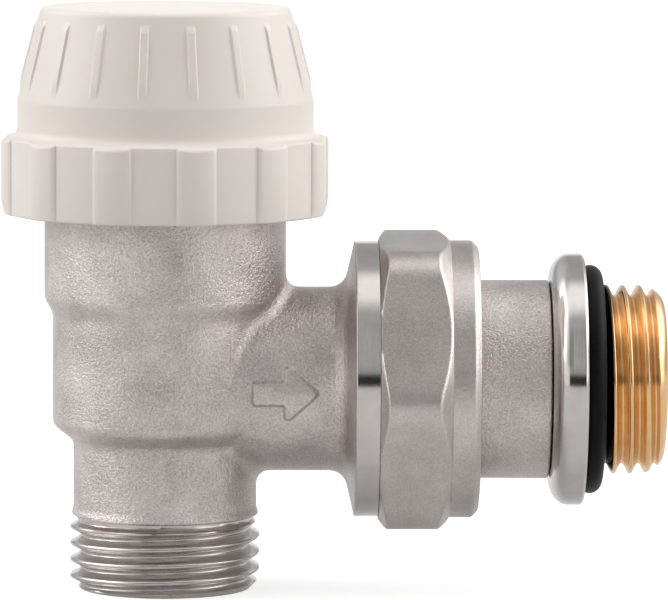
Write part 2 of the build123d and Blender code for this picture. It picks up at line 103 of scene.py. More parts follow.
def corner_points(before, corner, after, rounding):
    """Points of one corner of a section, rounded by an arc."""
    before, corner, after = (np.array(p[:2], float) for p in (before, corner, after))
    if rounding <= 0:
        return [corner]
    to_before = (before - corner) / np.linalg.norm(before - corner)
    to_after = (after - corner) / np.linalg.norm(after - corner)
    half = math.acos(np.clip(to_before @ to_after, -1, 1)) / 2
    reach = rounding / math.tan(half)
    middle = (to_before + to_after) / np.linalg.norm(to_before + to_after)
    centre = corner + middle * rounding / math.sin(half)
    start = corner + to_before * reach - centre
    end = corner + to_after * reach - centre
    sweep = math.pi - 2 * half
    steps = max(2, math.ceil(sweep / ARC_STEP))
    shares = np.arange(steps + 1) / steps
    weights = [(math.sin((1 - t) * sweep), math.sin(t * sweep)) for t in shares]
    return [centre + (a * start + b * end) / math.sin(sweep) for a, b in weights]


def rounded(corners):
    """Points of a closed outline. A corner is (x, y) or (x, y, rounding)."""
    points = []
    for i, corner in enumerate(corners):
        rounding = corner[2] if len(corner) > 2 else 0
        points += corner_points(corners[i - 1], corner, corners[(i + 1) % len(corners)], rounding)
    return points


def with_supports(points):
    """The points of a closed section, with extra ones near the ends of long straight stretches."""
    full = []
    for here, there in zip(points, points[1:] + points[:1]):
        full.append(here)
        length = np.linalg.norm(there - here)
        if length > 4 * SUPPORT:
            along = (there - here) / length
            full += [here + along * SUPPORT, there - along * SUPPORT]
    return full


def section(corners):
    """A closed section as (radius, height) points, with supports beside its corners."""
    return with_supports(rounded(corners))


def polar_mesh(name, angles, rows, place=UPRIGHT, closed=True, seam=False):
    """A mesh from rows of (radius, height) round an axis, each a number or an array over the angles.

    With a seam, the last angle lies a full turn on from the first, and equal points there are merged.
    """
    count = len(angles)
    cos, sin = np.cos(angles), np.sin(angles)
    verts = []
    for radius, height in rows:
        r = np.broadcast_to(radius, count)
        h = np.broadcast_to(height, count)
        verts.append(np.stack([r * cos, r * sin, h], -1))
    verts = np.concatenate(verts)
    faces = []
    last = len(rows) if closed else len(rows) - 1
    for i in range(last):
        low = i * count
        high = ((i + 1) % len(rows)) * count
        for j in range(count - 1 if seam else count):
            k = (j + 1) % count
            faces.append((low + j, low + k, high + k, high + j))
    mesh = bpy.data.meshes.new(name)
    mesh.from_pydata(verts.tolist(), [], faces)
    mesh.transform(place)
    clean(mesh)
    return mesh


def clean(mesh):
    """Merge doubled points, drop empty faces, turn all faces outwards and shade the mesh smooth."""
    work = bmesh.new()
    work.from_mesh(mesh)
    bmesh.ops.remove_doubles(work, verts=work.verts, dist=SAME_POINT)
    bmesh.ops.dissolve_degenerate(work, edges=work.edges, dist=EMPTY_EDGE)
    bmesh.ops.recalc_face_normals(work, faces=work.faces)
    work.to_mesh(mesh)
    work.free()
    shade(mesh)


def shade(mesh):
    """Shade a mesh smooth and keep its sharp edges."""
    mesh.shade_smooth()
    mesh.set_sharp_from_angle(angle=SHARP_ANGLE)


def turned_mesh(name, corners, place=UPRIGHT, angles=None):
    """A turned ring from the corners of its section."""
    angles = even_angles() if angles is None else angles
    return polar_mesh(name, angles, section(corners), place)


def add_piece(mesh, body, materials, replaces=()):
    """Put a mesh into the scene as a piece that rides on a body."""
    piece = bpy.data.objects.new(mesh.name, mesh)
    bpy.context.scene.collection.objects.link(piece)
    for material in materials:
        mesh.materials.append(material)
    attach(piece, body)
    if replaces:
        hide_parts(*replaces)
    return piece


def smooth_min(a, b, width):
    """The smaller of two values, with a soft change between them."""
    near = np.maximum(width - np.abs(a - b), 0) / width
    return np.minimum(a, b) - near * near * width / 4


def smooth_step(value):
    """From 0 to 1 with soft ends."""
    t = np.clip(value, 0, 1)
    return t * t * (3 - 2 * t)


def thread_drop(away):
    """How far a pipe thread falls below its crest, up to half a pitch away from the crest's middle."""
    arc = THREAD_ROUND * math.cos(THREAD_FLANK)
    to_root = PITCH / 2 - away
    crest = THREAD_ROUND - np.sqrt(np.maximum(THREAD_ROUND ** 2 - away ** 2, 0))
    root = THREAD_DEPTH - THREAD_ROUND + np.sqrt(np.maximum(THREAD_ROUND ** 2 - to_root ** 2, 0))
    flank = THREAD_ROUND * (1 - math.sin(THREAD_FLANK)) + (away - arc) / math.tan(THREAD_FLANK)
    return np.where(away < arc, crest, np.where(to_root < arc, root, flank))


def thread_rows(angles, low, high, crest_r, phase):
    """Rows along a right-handed thread's own helix, trimmed to two heights."""
    turn = angles / (2 * math.pi)
    first = math.floor(low / PITCH + phase) - 1
    last = math.ceil(high / PITCH + phase)
    rows = []
    for i in range(first * THREAD_ROWS, last * THREAD_ROWS + 1):
        height = np.clip((i / THREAD_ROWS - phase + turn) * PITCH, low, high)
        from_crest = np.abs((height / PITCH - turn + phase + 0.5) % 1.0 - 0.5) * PITCH
        rows.append((crest_r - thread_drop(from_crest), height))
    return rows


def span(low, high, step):
    """Heights from low to high, evenly spaced by about a step."""
    return np.linspace(low, high, max(2, round((high - low) / step) + 1))


def sorted_angles(angles, digits):
    """Angles within one turn, sorted, with those that agree to a number of digits merged."""
    return np.unique(np.round(angles % (2 * math.pi), digits))


# Materials

# Scales of the textures, in grains per metre
BLAST_CLOUD, BLAST_GRAIN, BLAST_PITS = 160, 5200, 2300
LATHE_RINGS, LATHE_STREAKS, LATHE_CLOUD = 6500, 60, 260
PLASTIC_CLOUD, PLASTIC_SKIN = 90, 3200
RUBBER_SKIN = 2600

GRAIN_SHARE = 0.55              # of the grain in a blasted metal's colour, the rest is its cloud
BLAST_STOPS = (0.35, 0.65)      # where a blasted metal's colour changes
COLOUR_STOPS = (0.3, 0.7)       # the same for the other finishes
BLAST_ROUGHNESS = (0.30, 0.44)
LATHE_SPREAD = (0.8, 1.25)      # of the roughness, as shares of it
PLASTIC_SPREAD = (0.9, 1.1)
RUBBER_ROUGHNESS = (0.38, 0.52)
LATHE_RELIEF = 0.03 * MM
SKIN_RELIEF = 0.02 * MM         # of plastic and rubber
PLASTIC_SCATTER = 0.08          # share of light that goes through the plastic's skin
PLASTIC_REACH = (1.2 * MM, 0.9 * MM, 0.7 * MM)
PLASTIC_IOR = 1.48
RUBBER_DARK, RUBBER_LIGHT = (0.002, 0.002, 0.0025), (0.005, 0.005, 0.006)
RUBBER_GLOSS = 0.12
PAINTED_SEAL_SHADE = (0.03, 0.018, 0.012)   # painted shade and dark reflection of the seal on the brass beside it
SEAL_SHADE_WIDTH = 0.65 * MM        # beside the seal
SEAL_SHADE_FADE = 0.4 * MM
X_AXIS, Z_AXIS = 0, 2


def new_material(name):
    """An empty material with a principled shader: the material, its node tree and the shader."""
    material = bpy.data.materials.new(name)
    material.use_nodes = True
    tree = material.node_tree
    return material, tree, tree.nodes["Principled BSDF"]


def coordinates(tree):
    """The piece's own coordinates, in metres."""
    return tree.nodes.new("ShaderNodeTexCoord").outputs["Object"]


def noise(tree, vector, scale, detail=2.0, roughness=0.5):
    """A noise texture's factor. Scale is in grains per metre."""
    node = tree.nodes.new("ShaderNodeTexNoise")
    node.inputs["Scale"].default_value = scale
    node.inputs["Detail"].default_value = detail
    node.inputs["Roughness"].default_value = roughness
    tree.links.new(vector, node.inputs["Vector"])
    return node.outputs["Fac"]


def ramp(tree, factor, stops):
    """A colour ramp of (position, colour) stops."""
    node = tree.nodes.new("ShaderNodeValToRGB")
    elements = node.color_ramp.elements
    while len(elements) < len(stops):
        elements.new(0.5)
    for element, (position, colour) in zip(elements, stops):
        element.position = position
        element.color = (*colour, 1)
    tree.links.new(factor, node.inputs["Fac"])
    return node.outputs["Color"]


def two_colours(tree, factor, stops, dark, light):
    """A ramp from a dark colour to a light one between two stops."""
    return ramp(tree, factor, list(zip(stops, (dark, light))))


def mix_colour(tree, factor, first, second):
    """A mix of two colours, each a socket or a colour."""
    node = tree.nodes.new("ShaderNodeMix")
    node.data_type = "RGBA"
    sockets = {socket.identifier: socket for socket in node.inputs}
    tree.links.new(factor, sockets["Factor_Float"])
    for name, value in (("A_Color", first), ("B_Color", second)):
        if isinstance(value, tuple):
            sockets[name].default_value = (*value, 1)
        else:
            tree.links.new(value, sockets[name])
    return next(socket for socket in node.outputs if socket.identifier == "Result_Color")


def map_range(tree, value, low, high):
    """A factor stretched to a range."""
    node = tree.nodes.new("ShaderNodeMapRange")
    node.inputs["To Min"].default_value = low
    node.inputs["To Max"].default_value = high
    tree.links.new(value, node.inputs["Value"])
    return node.outputs["Result"]


def soft_step(tree, value, low, high):
    """From 0 at the first value to 1 at the second, with soft ends."""
    node = tree.nodes.new("ShaderNodeMapRange")
    node.interpolation_type = "SMOOTHSTEP"
    node.inputs["From Min"].default_value = low
    node.inputs["From Max"].default_value = high
    tree.links.new(value, node.inputs["Value"])
    return node.outputs["Result"]


def bump(tree, height, distance, strength, normal=None):
    """A bump normal from a height, over an earlier normal if there is one."""
    node = tree.nodes.new("ShaderNodeBump")
    node.inputs["Distance"].default_value = distance
    node.inputs["Strength"].default_value = strength
    tree.links.new(height, node.inputs["Height"])
    if normal is not None:
        tree.links.new(normal, node.inputs["Normal"])
    return node.outputs["Normal"]


def stretched(tree, vector, scale):
    """Coordinates scaled by a different factor along each axis."""
    node = tree.nodes.new("ShaderNodeMapping")
    node.inputs["Scale"].default_value = scale
    tree.links.new(vector, node.inputs["Vector"])
    return node.outputs["Vector"]


def blasted_metal(name, dark, light, relief):
    """Forged metal, blasted and nickel plated: fine grain, satin shine and soft cloudy colour."""
    material, tree, shader = new_material(name)
    place = coordinates(tree)
    shader.inputs["Metallic"].default_value = 1.0
    cloud = noise(tree, place, BLAST_CLOUD, detail=4.0, roughness=0.6)
    grain = noise(tree, place, BLAST_GRAIN, detail=2.0, roughness=0.6)
    pits = noise(tree, place, BLAST_PITS, detail=3.0, roughness=0.7)
    mixed = tree.nodes.new("ShaderNodeMix")
    mixed.inputs["Factor"].default_value = GRAIN_SHARE
    tree.links.new(cloud, mixed.inputs["A"])
    tree.links.new(grain, mixed.inputs["B"])
    colour = two_colours(tree, mixed.outputs["Result"], BLAST_STOPS, dark, light)
    tree.links.new(colour, shader.inputs["Base Color"])
    tree.links.new(map_range(tree, grain, *BLAST_ROUGHNESS), shader.inputs["Roughness"])
    coarse = bump(tree, pits, relief, strength=0.8)
    fine = bump(tree, grain, relief / 2, strength=0.9, normal=coarse)
    tree.links.new(fine, shader.inputs["Normal"])
    return material


def lathe_metal(name, dark, light, axis, roughness):
    """Turned metal: fine rings round an axis, with slight streaks."""
    material, tree, shader = new_material(name)
    place = coordinates(tree)
    shader.inputs["Metallic"].default_value = 1.0
    along = [LATHE_STREAKS] * 3
    along[axis] = LATHE_RINGS
    rings = noise(tree, stretched(tree, place, along), 1.0, detail=3.0, roughness=0.6)
    cloud = noise(tree, place, LATHE_CLOUD, detail=3.0, roughness=0.6)
    tree.links.new(two_colours(tree, cloud, COLOUR_STOPS, dark, light), shader.inputs["Base Color"])
    smooth, rough = (roughness * share for share in LATHE_SPREAD)
    tree.links.new(map_range(tree, rings, smooth, rough), shader.inputs["Roughness"])
    tree.links.new(bump(tree, rings, LATHE_RELIEF, strength=0.5), shader.inputs["Normal"])
    return material


def paint_seal_shade(material, start, length):
    """Paint shade on a metal along X up to a start, standing in for the seal's shadow and dark reflection,
    and fade it out over a length.
    """
    tree = material.node_tree
    colour = tree.nodes["Principled BSDF"].inputs["Base Color"]
    unshaded_metal = colour.links[0].from_socket
    parts = tree.nodes.new("ShaderNodeSeparateXYZ")
    tree.links.new(coordinates(tree), parts.inputs["Vector"])
    clear = soft_step(tree, parts.outputs["X"], start, start + length)
    tree.links.new(mix_colour(tree, clear, PAINTED_SEAL_SHADE, unshaded_metal), colour)


def moulded_plastic(name, dark, light, roughness):
    """Moulded plastic: a faint tool texture and soft changes of colour."""
    material, tree, shader = new_material(name)
    place = coordinates(tree)
    cloud = noise(tree, place, PLASTIC_CLOUD, detail=3.0)
    skin = noise(tree, place, PLASTIC_SKIN)
    tree.links.new(two_colours(tree, cloud, COLOUR_STOPS, dark, light), shader.inputs["Base Color"])
    smooth, rough = (roughness * share for share in PLASTIC_SPREAD)
    tree.links.new(map_range(tree, skin, smooth, rough), shader.inputs["Roughness"])
    tree.links.new(bump(tree, skin, SKIN_RELIEF, strength=0.25), shader.inputs["Normal"])
    shader.inputs["Subsurface Weight"].default_value = PLASTIC_SCATTER
    shader.inputs["Subsurface Radius"].default_value = PLASTIC_REACH
    shader.inputs["IOR"].default_value = PLASTIC_IOR
    return material


def rubber(name):
    """Black seal rubber."""
    material, tree, shader = new_material(name)
    skin = noise(tree, coordinates(tree), RUBBER_SKIN, detail=3.0, roughness=0.6)
    colour = two_colours(tree, skin, COLOUR_STOPS, RUBBER_DARK, RUBBER_LIGHT)
    tree.links.new(colour, shader.inputs["Base Color"])
    shader.inputs["Specular IOR Level"].default_value = RUBBER_GLOSS
    tree.links.new(map_range(tree, skin, *RUBBER_ROUGHNESS), shader.inputs["Roughness"])
    tree.links.new(bump(tree, skin, SKIN_RELIEF, strength=0.3), shader.inputs["Normal"])
    return material


forged = blasted_metal("forged_nickel", (0.42, 0.383, 0.369), (0.775, 0.714, 0.69), 0.165 * MM)
satin = blasted_metal("satin_nickel", (0.46, 0.42, 0.40), (0.66, 0.61, 0.585), 0.045 * MM)
nickel_x = lathe_metal("turned_nickel_x", (0.53, 0.50, 0.48), (0.61, 0.575, 0.555), X_AXIS, 0.12)
nickel_z = lathe_metal("turned_nickel_z", (0.51, 0.478, 0.46), (0.60, 0.565, 0.545), Z_AXIS, 0.16)
brass_x = lathe_metal("brass_x", (0.775, 0.49, 0.245), (0.875, 0.585, 0.31), X_AXIS, 0.22)
# painted shade: the seal's shadow and dark reflection on the brass next to it
paint_seal_shade(brass_x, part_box("radiator_seal")[1].x + SEAL_SHADE_WIDTH, SEAL_SHADE_FADE)
brass_z = lathe_metal("brass_z", (0.66, 0.44, 0.19), (0.75, 0.53, 0.26), Z_AXIS, 0.28)
steel_z = lathe_metal("drawn_steel", (0.48, 0.48, 0.48), (0.60, 0.60, 0.60), Z_AXIS, 0.30)
cap_white = moulded_plastic("cap_plastic", (0.79, 0.73, 0.675), (0.82, 0.76, 0.705), 0.36)
guide_white = moulded_plastic("guide_plastic", (0.72, 0.70, 0.62), (0.78, 0.76, 0.68), 0.5)
seal_black = rubber("seal_rubber")


# Body

BRANCH_CUT = 17.0 * MM          # the forging ends here and the turned flange begins
NECK_CUT = 9.2 * MM             # the forging ends here and the threaded end begins
BRANCH_R = 10.15 * MM
NECK_R = 10.1 * MM
LIP_R = 10.28 * MM              # slight flare at the foot of the neck
UNDERCUT_R = 9.7 * MM
UNDERCUT_TOP = 8.15 * MM
THREAD_TOP = 7.75 * MM
INLET_END_R = 9.4 * MM
INLET_CHAMFER = 1.1 * MM
INLET_EDGE = 0.25 * MM
INLET_RUNOUT = 0.6 * MM         # the thread fades out over this length
THREAD_SOFT = 0.12 * MM         # softness where a thread meets a chamfer
UNDERCUT_EDGE = 0.1 * MM
LIP_EDGE = 0.12 * MM
LIP_STEP = 0.02 * MM            # from the undercut's top to the start of the lip's edge
LIP_RISE = 0.14 * MM            # and to its end
LIP_SHARES = np.linspace(0.1, 1, 6)  # rows from the lip to the neck
FLANGE_R = 15.2 * MM
FLANGE_START = 20.85 * MM
FLANGE_END = 23.5 * MM
FLARE_R = 2.0 * MM
FLARE_LEAN = 1.15 * MM
EDGE_ROUND = 0.22 * MM
NUT_SIDE_ROUND = 0.1 * MM       # the flange's edge towards the nut
RIM_MARGIN = 0.05 * MM
SPIGOT_R = 13.22 * MM
SPIGOT_RELIEF = 0.3 * MM        # plain stretch between flange and thread
SPIGOT_RUNOUT = 0.8 * MM
OUTLET_BORE_R = 7.3 * MM
UNION_CONE = 3.0 * MM
spigot_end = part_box("valve_body")[1].x


def forged_shell():
    """The forging between the threaded end and the flange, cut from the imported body."""
    work = bmesh.new()
    work.from_mesh(frame["nodes"]["valve_body"].data)
    bmesh.ops.remove_doubles(work, verts=work.verts, dist=SAME_POINT)
    for point, normal in (((BRANCH_CUT, 0, 0), (1, 0, 0)), ((0, 0, NECK_CUT), (0, 0, -1))):
        everything = list(work.verts) + list(work.edges) + list(work.faces)
        cut = bmesh.ops.bisect_plane(
            work, geom=everything, plane_co=point, plane_no=normal, clear_outer=True
        )
        rim = [e for e in cut["geom_cut"] if isinstance(e, bmesh.types.BMEdge)]
        bmesh.ops.bridge_loops(work, edges=rim)
    bmesh.ops.recalc_face_normals(work, faces=work.faces)
    shell = bpy.data.meshes.new("forged_shell")
    work.to_mesh(shell)
    work.free()
    shade(shell)
    return shell


def inlet_end():
    """Threaded end below the neck, with its undercut, its chamfer and the foot of the neck."""
    angles = full_turn(even_angles())
    rows = [(INLET_BORE_R + INLET_EDGE, 0.0)]
    for thread, height in thread_rows(angles, 0.0, THREAD_TOP, PIPE_R, INLET_PHASE):
        chamfer = INLET_END_R + (PIPE_R - INLET_END_R) * height / INLET_CHAMFER
        runout = smooth_step((THREAD_TOP - height) / INLET_RUNOUT)
        radius = UNDERCUT_R + (thread - UNDERCUT_R) * runout
        rows.append((smooth_min(radius, chamfer, THREAD_SOFT), height))
    lip = UNDERCUT_TOP + LIP_RISE
    rows += [(UNDERCUT_R, UNDERCUT_TOP - UNDERCUT_EDGE), (UNDERCUT_R + UNDERCUT_EDGE, UNDERCUT_TOP)]
    rows += [(LIP_R - LIP_EDGE, UNDERCUT_TOP + LIP_STEP), (LIP_R, lip)]
    for share in LIP_SHARES:
        rows.append((LIP_R + (NECK_R - LIP_R) * smooth_step(share), lip + (NECK_CUT - lip) * share))
    rows += [(INLET_BORE_R, NECK_CUT), (INLET_BORE_R, INLET_EDGE)]
    return polar_mesh("inlet_end", angles, rows, seam=True)


def union_spigot():
    """Turned flange beside the nut, and the threaded spigot inside it."""
    angles = full_turn(even_angles())
    root_r = SPIGOT_R - THREAD_DEPTH
    outside = section([
        (OUTLET_BORE_R, BRANCH_CUT),
        (BRANCH_R, BRANCH_CUT),
        (BRANCH_R, FLANGE_START - FLARE_LEAN, FLARE_R),
        (FLANGE_R, FLANGE_START, EDGE_ROUND),
        (FLANGE_R, FLANGE_END, NUT_SIDE_ROUND),
        (root_r, FLANGE_END),
    ])
    # The section's closing stretch, back to the bore, is replaced by the spigot
    rows = [p for p in outside if not (p[1] < FLANGE_END - SUPPORT / 2 and p[0] < BRANCH_R - EDGE_ROUND)]
    rows = [(OUTLET_BORE_R, BRANCH_CUT)] + rows
    thread_start = FLANGE_END + SPIGOT_RELIEF
    for thread, height in thread_rows(angles, thread_start, spigot_end, SPIGOT_R, 0.0):
        chamfer = root_r + (spigot_end - height)
        start = smooth_step((height - thread_start) / SPIGOT_RUNOUT)
        rows.append((np.minimum(root_r + (thread - root_r) * start, chamfer), height))
    rows += [(OUTLET_BORE_R + UNION_CONE, spigot_end), (OUTLET_BORE_R, spigot_end - UNION_CONE)]
    return polar_mesh("union_spigot", angles, rows, ALONG_OUTLET, seam=True)


def is_flare(face):
    """Whether a face of the flange belongs to the blasted flare behind its turned rim."""
    radius = math.hypot(face.center.y, face.center.z - AXIS_Z)
    return BRANCH_R - RIM_MARGIN < radius < FLANGE_R - RIM_MARGIN


def make_body():
    """The body: forging, threaded inlet and turned flange."""
    add_piece(forged_shell(), "valve", [forged], ["valve_body"])
    inlet = add_piece(inlet_end(), "valve", [nickel_z, forged])
    for face in inlet.data.polygons:
        face.material_index = 1 if face.center.z > UNDERCUT_TOP else 0
    spigot = add_piece(union_spigot(), "valve", [nickel_x, forged])
    for face in spigot.data.polygons:
        face.material_index = 1 if face.center.x < FLANGE_START + RIM_MARGIN and is_flare(face) else 0


# Flow arrow

ARROW_TAIL = 9.6 * MM           # along the outlet axis
ARROW_NECK = 13.1 * MM
ARROW_TIP = 16.85 * MM
ARROW_SHAFT = 1.24 * MM         # half heights
ARROW_HEAD = 3.4 * MM
ARROW_ROUND = 0.4 * MM          # rounding of the corners
ARROW_EDGE = 0.5 * MM           # width of the sloping edge, half of it outside the outline
ARROW_RISE = 0.45 * MM
ARROW_SINK = 0.15 * MM
ARROW_DROP = 0.58 * MM          # below the outlet axis
ARROW_STEP = 0.25 * MM
ARROW_EDGE_STEPS = 7


def inset(corners, distance):
    """A closed outline moved inwards by a distance. Its corners run clockwise."""
    moved = []
    for i, corner in enumerate(corners):
        before = np.array(corners[i - 1])
        after = np.array(corners[(i + 1) % len(corners)])
        corner = np.array(corner)
        first = (corner - before) / np.linalg.norm(corner - before)
        second = (after - corner) / np.linalg.norm(after - corner)
        normal_a = np.array([first[1], -first[0]])
        normal_b = np.array([second[1], -second[0]])
        middle = normal_a + normal_b
        moved.append(tuple(corner + middle * distance / (1 + normal_a @ normal_b)))
    return moved


def arrow_outline():
    """Outline of the arrow, along the outlet and up, with rounded corners."""
    corners = [
        (ARROW_TAIL, ARROW_SHAFT),
        (ARROW_NECK, ARROW_SHAFT),
        (ARROW_NECK, ARROW_HEAD),
        (ARROW_TIP, 0.0),
        (ARROW_NECK, -ARROW_HEAD),
        (ARROW_NECK, -ARROW_SHAFT),
        (ARROW_TAIL, -ARROW_SHAFT),
    ]
    return rounded([(*corner, ARROW_ROUND) for corner in corners])


def flow_arrow():
    """Raised arrow on the front of the branch, pointing to the radiator."""
    outline = arrow_outline()
    shares = np.linspace(0, 1, ARROW_EDGE_STEPS)
    edge = [(ARROW_EDGE * (share - 0.5), ARROW_RISE * smooth_step(share)) for share in shares]
    work = bmesh.new()
    rims = []
    for distance, rise in [(-ARROW_EDGE / 2, -ARROW_SINK)] + edge:
        rims.append([work.verts.new((x, z, rise)) for x, z in inset(outline, distance)])
    for lower, upper in zip(rims, rims[1:]):
        for i in range(len(outline)):
            work.faces.new((lower[i - 1], lower[i], upper[i], upper[i - 1]))
    work.faces.new(rims[0])
    work.faces.new(rims[-1])
    reach = ARROW_HEAD + ARROW_EDGE
    for height in span(-reach, reach, ARROW_STEP):
        everything = list(work.verts) + list(work.edges) + list(work.faces)
        bmesh.ops.bisect_plane(work, geom=everything, plane_co=(0, height, 0), plane_no=(0, 1, 0))
    for vert in work.verts:
        x, z, rise = vert.co
        angle = (z - ARROW_DROP) / BRANCH_R
        radius = BRANCH_R + rise
        vert.co = (x, -radius * math.cos(angle), AXIS_Z + radius * math.sin(angle))
    mesh = bpy.data.meshes.new("flow_arrow")
    work.to_mesh(mesh)
    work.free()
    clean(mesh)
    return mesh


# Union nut

NUT_FLATS = 31.0 * MM
NUT_ROUND = 4.6 * MM            # rounding of the forged corners
NUT_CHAMFER_R = 15.75 * MM
NUT_FRONT_SLOPE = 2.0           # rise of the chamfer beside the flange
NUT_BACK_SLOPE = 1.35           # rise of the chamfer beside the ring
NUT_REACH = 0.14 * MM           # the nut comes this much nearer to the flange than its solid
NUT_HEX_LENGTH = 7.7 * MM
NUT_RING_R = 15.3 * MM
NUT_RING_EDGE = 0.7 * MM
NUT_THREAD_R = 13.27 * MM
NUT_WEB = 2.05 * MM
NUT_WEB_R = 11.0 * MM
NUT_RELIEF_R = 12.8 * MM
NUT_RELIEF = 0.9 * MM
NUT_SOFT = 0.35 * MM            # softness of the nut's edges
NUT_EDGE = 0.2 * MM             # chamfers of the thread's mouth and the front
NUT_RING_ROUND = 0.5 * MM
NUT_BACK_ROUND = 0.2 * MM
NUT_WEB_ROUND = 0.15 * MM
NUT_FRONT_ROWS = (0.04 * MM, 1.6 * MM)  # rows lie close together in the front chamfer
NUT_FLAT_ROWS = (2.0 * MM, 4.6 * MM)    # far apart on the flats
NUT_BACK_ROWS = 4.9 * MM                # and close together from here to the ring
NUT_CLOSE, NUT_APART = 0.08 * MM, 1.3 * MM
NUT_LAST = 0.02 * MM            # the rows come this near to the ring, along and across
NUT_ANGLE_STEP = math.radians(1.25)
NUT_ANGLE_DIGITS = 7
HEX_SIDES = 6
HEX_TURN = 2 * math.pi / HEX_SIDES
NUT_CORNER = math.radians(35)   # one corner lies just below the front
nut_start, nut_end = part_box("union_nut")[0].x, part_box("union_nut")[1].x


def nut_angles():
    """Angles round the nut, evenly spaced from its corners."""
    near = np.arange(0, HEX_TURN / 2 - NUT_ANGLE_STEP / 2, NUT_ANGLE_STEP)
    sector = np.unique(np.concatenate([near, -near]))
    whole = np.concatenate([NUT_CORNER + i * HEX_TURN + sector for i in range(HEX_SIDES)])
    return sorted_angles(whole, NUT_ANGLE_DIGITS)


def rounded_hexagon(from_flat):
    """Radius of a hexagon with rounded corners, at angles from the middle of the nearest flat."""
    flat = NUT_FLATS / 2
    plain = flat / np.cos(from_flat)
    centre = (flat - NUT_ROUND) / math.cos(HEX_TURN / 2)
    to_corner = HEX_TURN / 2 - np.abs(from_flat)
    across = np.clip(centre * np.sin(to_corner), 0, NUT_ROUND)
    corner = centre * np.cos(to_corner) + np.sqrt(NUT_ROUND ** 2 - across ** 2)
    flat_half = (flat - NUT_ROUND) * math.tan(HEX_TURN / 2)
    return np.where(np.abs(np.tan(from_flat)) * flat > flat_half, corner, plain)


def union_nut():
    """Hexagon nut with turned chamfers, a plain ring and a web inside."""
    angles = nut_angles()
    from_flat = (angles - NUT_CORNER) % HEX_TURN - HEX_TURN / 2
    hexagon = rounded_hexagon(from_flat)
    front = nut_start - NUT_REACH
    hex_end = nut_start + NUT_HEX_LENGTH
    web = nut_end - NUT_WEB
    rows = [(radius, front) for radius in (
        NUT_THREAD_R + NUT_EDGE,
        NUT_CHAMFER_R - 2 * NUT_EDGE,
        NUT_CHAMFER_R - NUT_EDGE,
    )]
    steps = np.concatenate([
        span(*NUT_FRONT_ROWS, NUT_CLOSE),
        span(*NUT_FLAT_ROWS, NUT_APART),
        span(NUT_BACK_ROWS, NUT_HEX_LENGTH - NUT_LAST, NUT_CLOSE),
    ])
    for step in steps:
        left = NUT_CHAMFER_R + step * NUT_FRONT_SLOPE
        right = NUT_RING_R + (NUT_HEX_LENGTH - step) * NUT_BACK_SLOPE
        radius = smooth_min(hexagon, np.full_like(angles, min(left, right)), NUT_SOFT)
        rows.append((np.maximum(radius, NUT_RING_R - NUT_LAST), nut_start + step))
    ring = section([
        (NUT_RING_R, hex_end),
        (NUT_RING_R, nut_end - NUT_RING_EDGE, NUT_RING_ROUND),
        (NUT_RING_R - NUT_RING_EDGE, nut_end, NUT_BACK_ROUND),
        (NUT_WEB_R, nut_end, NUT_WEB_ROUND),
        (NUT_WEB_R, web),
        (NUT_RELIEF_R, web),
        (NUT_RELIEF_R, web - NUT_RELIEF),
        (NUT_THREAD_R, web - NUT_RELIEF),
        (NUT_THREAD_R, front + NUT_EDGE),
    ])
    # The last two points only close the section
    return polar_mesh("union_hexagon", angles, rows + ring[:-2], ALONG_OUTLET)


# Tail

SLEEVE_R = 10.95 * MM
SLEEVE_BORE_R = 7.0 * MM
COLLAR_R = 11.9 * MM
COLLAR_WIDTH = 1.55 * MM
COLLAR_NOSE = 2.0 * MM
SOCKET_R = 9.05 * MM
SOCKET_DEPTH = 4.95 * MM
CONE_PLAY = 0.15 * MM           # between the sleeve's cone and the spigot's
COLLAR_ROUND = 0.15 * MM
SLEEVE_ROUND = 0.3 * MM
SEAL_FLANGE_R = 13.9 * MM
SEAL_ROUND_LENGTH = 2.1 * MM    # the rounded back of the seal flange, along the axis
SEAL_ROUND_DEPTH = 2.8 * MM     # and across it
SEAL_ROUND_STEPS = 10
SEAL_FLANGE_EDGE = 0.3 * MM
SEAL_RECESS = 0.6 * MM
SEAL_RECESS_R = 12.67 * MM
SEAL_RIM_ROUND = 0.2 * MM
SEAL_FACE_ROUND = 0.12 * MM
SEAL_LIP_ROUND = 0.1 * MM
SEAL_SECTION_R = 1.31 * MM
SEAL_SECTION_STEPS = 28
NIPPLE_NECK_R = 9.95 * MM
NIPPLE_SHANK_R = 9.0 * MM
NIPPLE_END_R = 8.2 * MM
NIPPLE_NOSE = 3.2 * MM          # length of the rounded end
NIPPLE_UNDERCUT_R = 9.3 * MM
NIPPLE_UNDERCUT = (0.6 * MM, 0.2 * MM)  # its slope starts and ends this far before the thread
NIPPLE_KEY_R = 6.0 * MM         # half the socket's width across flats
NIPPLE_PLAY = 0.05 * MM
NIPPLE_EDGE = 0.3 * MM          # chamfer of the bore


def tail_tube():
    """Sleeve of the tail: sealing cone, collar and the socket for the nipple."""
    start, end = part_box("tail_sleeve")[0].x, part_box("tail_sleeve")[1].x
    collar_start = start + COLLAR_NOSE
    collar_end = collar_start + COLLAR_WIDTH
    nose_r = OUTLET_BORE_R + UNION_CONE + (collar_start - spigot_end) - CONE_PLAY
    return turned_mesh("tail_tube", [
        (SLEEVE_BORE_R, start),
        (nose_r - COLLAR_NOSE, start),
        (nose_r, collar_start),
        (COLLAR_R, collar_start, COLLAR_ROUND),
        (COLLAR_R, collar_end),
        (SLEEVE_R, collar_end),
        (SLEEVE_R, end, SLEEVE_ROUND),
        (SOCKET_R, end),
        (SOCKET_R, end - SOCKET_DEPTH),
        (SLEEVE_BORE_R, end - SOCKET_DEPTH),
    ], ALONG_OUTLET)


